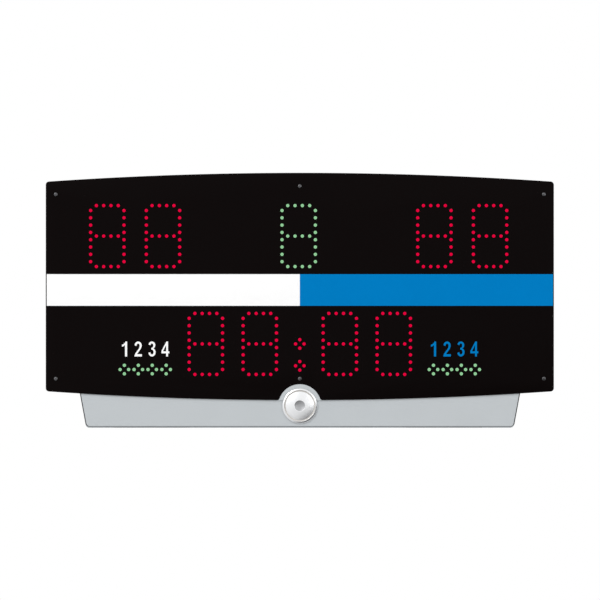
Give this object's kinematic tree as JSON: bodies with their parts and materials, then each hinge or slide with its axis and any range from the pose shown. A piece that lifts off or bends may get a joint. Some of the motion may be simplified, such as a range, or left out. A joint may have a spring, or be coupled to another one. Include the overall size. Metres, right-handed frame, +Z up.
{
  "type": "electronic scoreboard",
  "caption": "Wall-hung sports scoreboard: curved black LED panel with score, period, clock and penalty lights, a two-colour band, and a pale tapered lower housing with a round horn.",
  "frame": {"origin": "middle of the wall rail's rear face, where the board hangs on the wall", "axes": "+X to the right as seen from the front, +Y from the board into the wall, +Z up; the front faces -Y"},
  "size_m": [1.2, 0.0925, 0.602],
  "materials": {
    "panel_black": "satin black sheet",
    "strip_white": "satin white film",
    "strip_blue": "satin blue film",
    "screw_steel": "plain steel",
    "case_paint": "fine-textured dark powder coat",
    "rubber_black": "matt black rubber",
    "chin_grey": "light grey moulded plastic",
    "horn_silver": "satin silver plating",
    "plastic_black": "matt black plastic",
    "plastic_grey": "mid grey plastic",
    "plastic_red": "gloss red plastic",
    "led_red": "lit red LED lens",
    "led_green": "lit pale green LED lens",
    "board_green": "green circuit board",
    "aluminium_plain": "plain mill aluminium",
    "ribbon_grey": "grey flat cable",
    "lead_black": "black cable sheath"
  },
  "bodies": {
    "board": {"front_panel": "panel_black", "white_strip": "strip_white", "blue_strip": "strip_blue", "panel_screw_top_left": "screw_steel", "panel_screw_top_middle": "screw_steel", "panel_screw_top_right": "screw_steel", "panel_screw_low_left": "screw_steel", "panel_screw_low_middle": "screw_steel", "panel_screw_low_right": "screw_steel", "case": "case_paint", "rim_gasket": "rubber_black", "chin_housing": "chin_grey", "chin_cover": "chin_grey", "cover_screw_left": "screw_steel", "cover_screw_right": "screw_steel", "chin_screw_left": "screw_steel", "chin_screw_right": "screw_steel", "horn_ring": "horn_silver", "horn_face": "horn_silver", "horn_body": "plastic_black", "horn_diaphragm": "aluminium_plain", "horn_nut": "plastic_black", "home_score_tens": "led_red", "home_score_units": "led_red", "period_digit": "led_green", "guest_score_tens": "led_red", "guest_score_units": "led_red", "clock_minutes_tens": "led_red", "clock_minutes_units": "led_red", "clock_seconds_tens": "led_red", "clock_seconds_units": "led_red", "clock_colon": "led_red", "penalty_lights_left": "led_green", "penalty_lights_right": "led_green", "power_supply": "aluminium_plain", "controller_board": "board_green", "radio_module": "board_green", "power_bay": "plastic_grey", "power_inlet": "plastic_black", "console_socket": "plastic_black", "service_bay": "plastic_grey", "door_hinge_pin": "screw_steel", "service_board": "board_green", "display_harness": "ribbon_grey", "cable_grommet": "rubber_black", "mains_lead": "lead_black", "signal_lead": "lead_black", "horn_lead": "lead_black", "supply_lead": "lead_black", "wall_rail": "aluminium_plain", "case_cleat": "aluminium_plain", "lower_pad_left": "rubber_black", "lower_pad_right": "rubber_black"},
    "fuse_drawer": {"fuse_drawer": "plastic_black"},
    "power_rocker": {"power_rocker": "plastic_red"},
    "socket_cap": {"socket_cap": "rubber_black"},
    "service_door": {"service_door": "chin_grey"},
    "door_latch": {"door_latch": "plastic_black"},
    "address_knob": {"address_knob": "plastic_black"},
    "test_button": {"test_button": "plastic_red"}
  },
  "joints": [
    {"name": "fuse_drawer_slide", "type": "slide", "parent": "board", "child": "fuse_drawer", "axis": [0, 0, -1], "range_m": [0, 0.014]},
    {"name": "power_rocker_pivot", "type": "hinge", "parent": "board", "child": "power_rocker", "pos_m": [-0.366, -0.058, -0.479], "axis": [0, 1, 0], "range_deg": [-20, 0]},
    {"name": "socket_cap_hinge", "type": "hinge", "parent": "board", "child": "socket_cap", "pos_m": [-0.3, -0.043, -0.484], "axis": [1, 0, 0], "range_deg": [0, 90]},
    {"name": "service_door_hinge", "type": "hinge", "parent": "board", "child": "service_door", "pos_m": [0.34, -0.042, -0.4968], "axis": [1, 0, 0], "range_deg": [0, 90]},
    {"name": "door_latch_turn", "type": "hinge", "parent": "service_door", "child": "door_latch", "pos_m": [0.34, -0.066, -0.5], "axis": [0, 0, 1], "range_deg": [0, 90]},
    {"name": "address_knob_turn", "type": "hinge", "parent": "board", "child": "address_knob", "pos_m": [0.3, -0.058, -0.485], "axis": [0, 0, 1], "continuous": true},
    {"name": "test_button_press", "type": "slide", "parent": "board", "child": "test_button", "axis": [0, 0, 1], "range_m": [0, 0.003], "stiffness_N_per_m": 300, "springref_m": -0.001}
  ]
}
